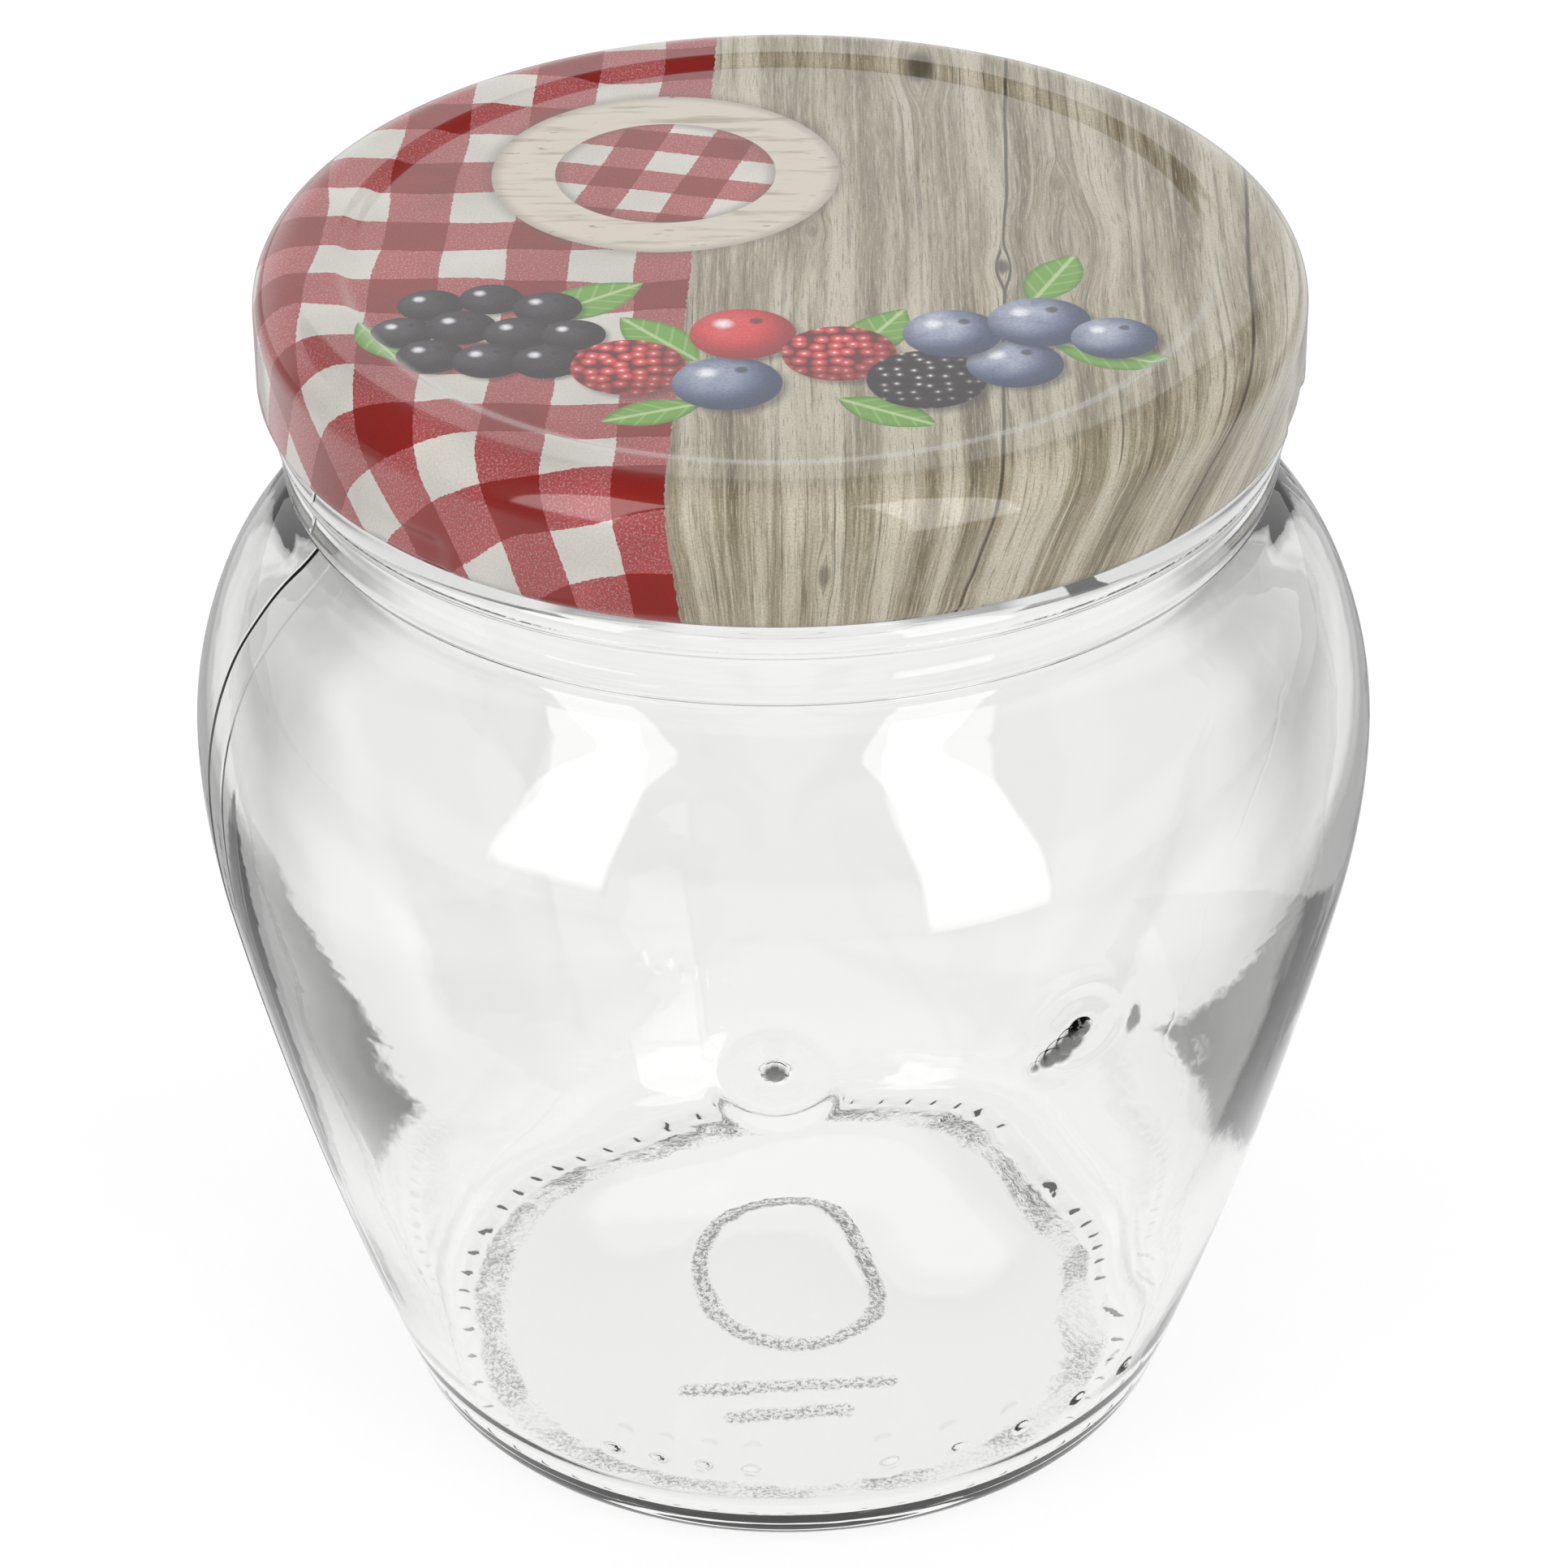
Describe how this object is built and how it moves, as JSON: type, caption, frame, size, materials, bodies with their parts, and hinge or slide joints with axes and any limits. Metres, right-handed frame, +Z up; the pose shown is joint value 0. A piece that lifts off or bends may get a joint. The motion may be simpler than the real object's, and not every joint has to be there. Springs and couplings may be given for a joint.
{
  "type": "jam jar with twist-off lid",
  "caption": "Full-bellied clear glass preserve jar with a flat printed tinplate twist-off lid and its soft sealing ring.",
  "frame": {"origin": "on the table, at the middle of the ring that the jar stands on", "axes": "+Z up along the axis of the jar and lid, +Y away from the viewer of the picture, +X to the viewer's right"},
  "size_m": [0.0996, 0.0998, 0.1082],
  "materials": {
    "clear_glass": "clear flint glass, smooth, with a stippled and notched base ring",
    "printed_tinplate": "glossy varnish over a print on bright tinplate, pale lacquer inside",
    "seal_compound": "smooth soft compound, cream"
  },
  "bodies": {
    "jar": {"glass_jar": "clear_glass"},
    "seal": {"sealing_ring": "seal_compound"},
    "lid": {"lid_shell": "printed_tinplate"}
  },
  "joints": [
    {"name": "lid_rise", "type": "slide", "parent": "jar", "child": "seal", "axis": [0, 0, 1], "range_m": [0, 0.024]},
    {"name": "lid_turn", "type": "hinge", "parent": "seal", "child": "lid", "pos_m": [0, 0, 0.1027], "axis": [0, 0, 1], "range_deg": [0, 360]}
  ],
  "couplings": [
    {"joint": "lid_rise", "follows": "lid_turn", "m_per_rad": 0.0038197}
  ]
}
